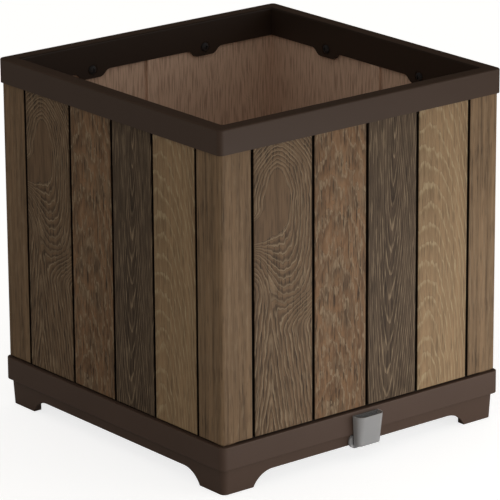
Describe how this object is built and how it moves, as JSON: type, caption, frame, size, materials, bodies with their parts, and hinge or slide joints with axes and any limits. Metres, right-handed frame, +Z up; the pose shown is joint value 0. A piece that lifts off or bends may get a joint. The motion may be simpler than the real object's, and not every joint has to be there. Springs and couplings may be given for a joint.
{
  "type": "planter box",
  "caption": "Square self-watering planter box with wood-look panels, footed base tray, screwed top rim and a clear pull-out drain cup.",
  "frame": {"origin": "on the floor under the middle of the square planter body", "axes": "+Z up, -Y towards the front with the drain cup, +X to the right seen from the front"},
  "size_m": [0.402, 0.4166, 0.411],
  "materials": {
    "base_resin": "fine satin moulded resin, dark brown",
    "rim_resin": "fine satin moulded resin, dark brown",
    "board_resin": "printed wood grain in brown, grey and tan boards, matte",
    "screw_steel": "blackened steel",
    "grid_resin": "plain black moulded resin",
    "seal_rubber": "soft black rubber",
    "clear_cup": "clear moulded plastic, slightly smoky"
  },
  "bodies": {
    "root": {"base_tray": "base_resin", "corner_panel_front_left": "board_resin", "corner_panel_front_right": "board_resin", "corner_panel_rear_right": "board_resin", "corner_panel_rear_left": "board_resin", "top_rim": "rim_resin", "rim_screws": "screw_steel", "base_screws": "screw_steel", "soil_grid": "grid_resin", "wick_cup_front_left": "grid_resin", "wick_cup_front_right": "grid_resin", "wick_cup_rear_right": "grid_resin", "wick_cup_rear_left": "grid_resin", "drain_seal": "seal_rubber"},
    "drain_cup_body": {"drain_cup": "clear_cup"}
  },
  "joints": [
    {"name": "drain_cup_pull", "type": "slide", "parent": "root", "child": "drain_cup_body", "axis": [0, -1, 0], "range_m": [0, 0.024]}
  ]
}
